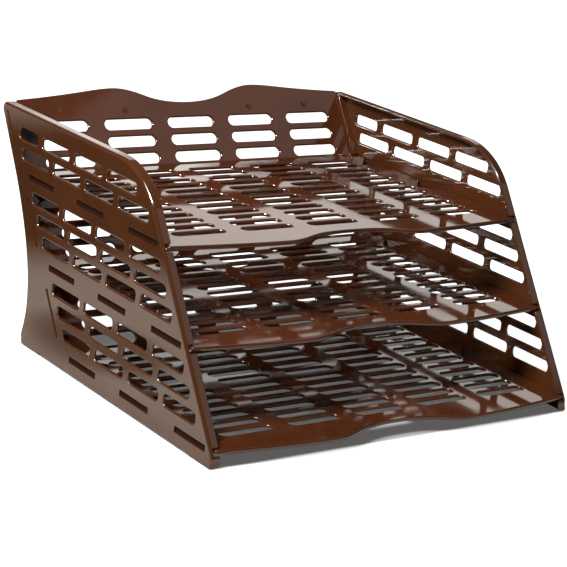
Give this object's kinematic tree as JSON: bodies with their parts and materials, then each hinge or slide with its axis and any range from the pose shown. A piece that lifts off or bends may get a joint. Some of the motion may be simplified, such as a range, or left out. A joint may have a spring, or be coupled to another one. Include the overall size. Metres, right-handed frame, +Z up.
{
  "type": "letter tray stack",
  "caption": "Stack of slotted letter trays, stepped back tier by tier, held by tabs between two slotted leaning side panels.",
  "frame": {"origin": "on the table, under the middle of the whole stack", "axes": "+Z up, +Y from the open front to the back, +X across the trays"},
  "size_m": [0.333, 0.338, 0.1908],
  "materials": {
    "panel": "polished moulded polystyrene, dark brown",
    "tray": "polished moulded polystyrene, dark brown"
  },
  "bodies": {
    "root": {"left_side_panel": "panel", "right_side_panel": "panel", "bottom_tray": "tray", "middle_tray": "tray", "top_tray": "tray"}
  },
  "joints": []
}
